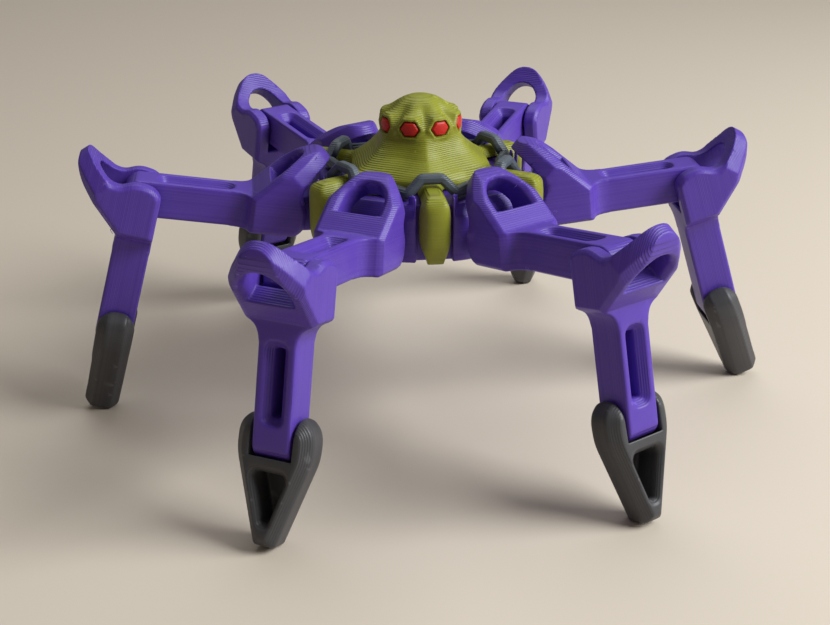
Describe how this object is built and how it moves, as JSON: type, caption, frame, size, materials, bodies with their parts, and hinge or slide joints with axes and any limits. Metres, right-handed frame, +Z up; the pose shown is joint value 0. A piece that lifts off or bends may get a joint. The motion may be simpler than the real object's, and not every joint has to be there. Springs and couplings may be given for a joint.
{
  "type": "hexapod spider robot",
  "caption": "Small printed hexapod spider with a domed head, slotted two-link legs hinged at hip, knee and ankle, and pointed feet.",
  "frame": {"origin": "centre of the flat underside of the hub", "axes": "+Z up out of the head, -Y along the front arm of the head, the legs stand 30, 90 and 150 degrees either side of -Y"},
  "size_m": [0.0897, 0.0766, 0.0402],
  "materials": {
    "purple_plastic": "printed filament, fine layer lines, soft sheen",
    "olive_plastic": "printed filament, fine layer lines, soft sheen",
    "blue_grey_plastic": "printed filament, fine layer lines, soft sheen",
    "dark_grey_plastic": "printed filament, fine layer lines, soft sheen",
    "red_plastic": "printed filament, slightly glossy"
  },
  "bodies": {
    "chassis": {"hub": "purple_plastic", "head": "olive_plastic", "crown_ring": "blue_grey_plastic", "eye_left_1": "red_plastic", "eye_right_1": "red_plastic", "eye_left_2": "red_plastic", "eye_right_2": "red_plastic", "eye_left_3": "red_plastic", "eye_right_3": "red_plastic", "eye_left_4": "red_plastic", "eye_right_4": "red_plastic"},
    "front_left_femur": {"femur_front_left": "purple_plastic"},
    "front_left_tibia": {"tibia_front_left": "purple_plastic"},
    "front_left_foot": {"foot_front_left": "dark_grey_plastic"},
    "front_right_femur": {"femur_front_right": "purple_plastic"},
    "front_right_tibia": {"tibia_front_right": "purple_plastic"},
    "front_right_foot": {"foot_front_right": "dark_grey_plastic"},
    "middle_left_femur": {"femur_middle_left": "purple_plastic"},
    "middle_left_tibia": {"tibia_middle_left": "purple_plastic"},
    "middle_left_foot": {"foot_middle_left": "dark_grey_plastic"},
    "middle_right_femur": {"femur_middle_right": "purple_plastic"},
    "middle_right_tibia": {"tibia_middle_right": "purple_plastic"},
    "middle_right_foot": {"foot_middle_right": "dark_grey_plastic"},
    "back_left_femur": {"femur_back_left": "purple_plastic"},
    "back_left_tibia": {"tibia_back_left": "purple_plastic"},
    "back_left_foot": {"foot_back_left": "dark_grey_plastic"},
    "back_right_femur": {"femur_back_right": "purple_plastic"},
    "back_right_tibia": {"tibia_back_right": "purple_plastic"},
    "back_right_foot": {"foot_back_right": "dark_grey_plastic"}
  },
  "joints": [
    {"name": "front_left_hip", "type": "hinge", "parent": "chassis", "child": "front_left_femur", "pos_m": [-0.00845, -0.01464, 0.0026], "axis": [-0.866, 0.5, 0], "range_deg": [-58.8, 2.2]},
    {"name": "front_left_knee", "type": "hinge", "parent": "front_left_femur", "child": "front_left_tibia", "pos_m": [-0.01705, -0.02953, 0.00526], "axis": [-0.866, 0.5, 0], "range_deg": [-9.9, 116.1]},
    {"name": "front_left_ankle", "type": "hinge", "parent": "front_left_tibia", "child": "front_left_foot", "pos_m": [-0.01896, -0.03284, -0.01171], "axis": [-0.866, 0.5, 0], "range_deg": [-60, 60]},
    {"name": "front_right_hip", "type": "hinge", "parent": "chassis", "child": "front_right_femur", "pos_m": [0.00845, -0.01464, 0.0026], "axis": [-0.866, -0.5, 0], "range_deg": [-58.9, 2.1]},
    {"name": "front_right_knee", "type": "hinge", "parent": "front_right_femur", "child": "front_right_tibia", "pos_m": [0.01705, -0.02952, 0.00529], "axis": [-0.866, -0.5, 0], "range_deg": [-9.9, 116.1]},
    {"name": "front_right_ankle", "type": "hinge", "parent": "front_right_tibia", "child": "front_right_foot", "pos_m": [0.01897, -0.03286, -0.01168], "axis": [-0.866, -0.5, 0], "range_deg": [-60, 60]},
    {"name": "middle_left_hip", "type": "hinge", "parent": "chassis", "child": "middle_left_femur", "pos_m": [-0.0169, 0, 0.0026], "axis": [0, 1, 0], "range_deg": [-58.6, 2.4]},
    {"name": "middle_left_knee", "type": "hinge", "parent": "middle_left_femur", "child": "middle_left_tibia", "pos_m": [-0.0341, 0, 0.0052], "axis": [0, 1, 0], "range_deg": [-13, 113]},
    {"name": "middle_left_ankle", "type": "hinge", "parent": "middle_left_tibia", "child": "middle_left_foot", "pos_m": [-0.03878, 0, -0.01156], "axis": [0, 1, 0], "range_deg": [-60, 60]},
    {"name": "middle_right_hip", "type": "hinge", "parent": "chassis", "child": "middle_right_femur", "pos_m": [0.0169, 0, 0.0026], "axis": [0, -1, 0], "range_deg": [-56.4, 4.6]},
    {"name": "middle_right_knee", "type": "hinge", "parent": "middle_right_femur", "child": "middle_right_tibia", "pos_m": [0.03419, 0, 0.00454], "axis": [0, -1, 0], "range_deg": [-17.3, 108.7]},
    {"name": "middle_right_ankle", "type": "hinge", "parent": "middle_right_tibia", "child": "middle_right_foot", "pos_m": [0.03948, 0, -0.01204], "axis": [0, -1, 0], "range_deg": [-60, 60]},
    {"name": "back_left_hip", "type": "hinge", "parent": "chassis", "child": "back_left_femur", "pos_m": [-0.00845, 0.01464, 0.0026], "axis": [0.866, 0.5, 0], "range_deg": [-59.5, 1.5]},
    {"name": "back_left_knee", "type": "hinge", "parent": "back_left_femur", "child": "back_left_tibia", "pos_m": [-0.01703, 0.0295, 0.00547], "axis": [0.866, 0.5, 0], "range_deg": [-9.5, 116.5]},
    {"name": "back_left_ankle", "type": "hinge", "parent": "back_left_tibia", "child": "back_left_foot", "pos_m": [-0.01899, 0.03289, -0.01148], "axis": [0.866, 0.5, 0], "range_deg": [-60, 60]},
    {"name": "back_right_hip", "type": "hinge", "parent": "chassis", "child": "back_right_femur", "pos_m": [0.00845, 0.01464, 0.0026], "axis": [0.866, -0.5, 0], "range_deg": [-58.2, 2.8]},
    {"name": "back_right_knee", "type": "hinge", "parent": "back_right_femur", "child": "back_right_tibia", "pos_m": [0.01706, 0.02955, 0.00508], "axis": [0.866, -0.5, 0], "range_deg": [-13.4, 112.6]},
    {"name": "back_right_ankle", "type": "hinge", "parent": "back_right_tibia", "child": "back_right_foot", "pos_m": [0.0194, 0.0336, -0.01168], "axis": [0.866, -0.5, 0], "range_deg": [-60, 60]}
  ]
}
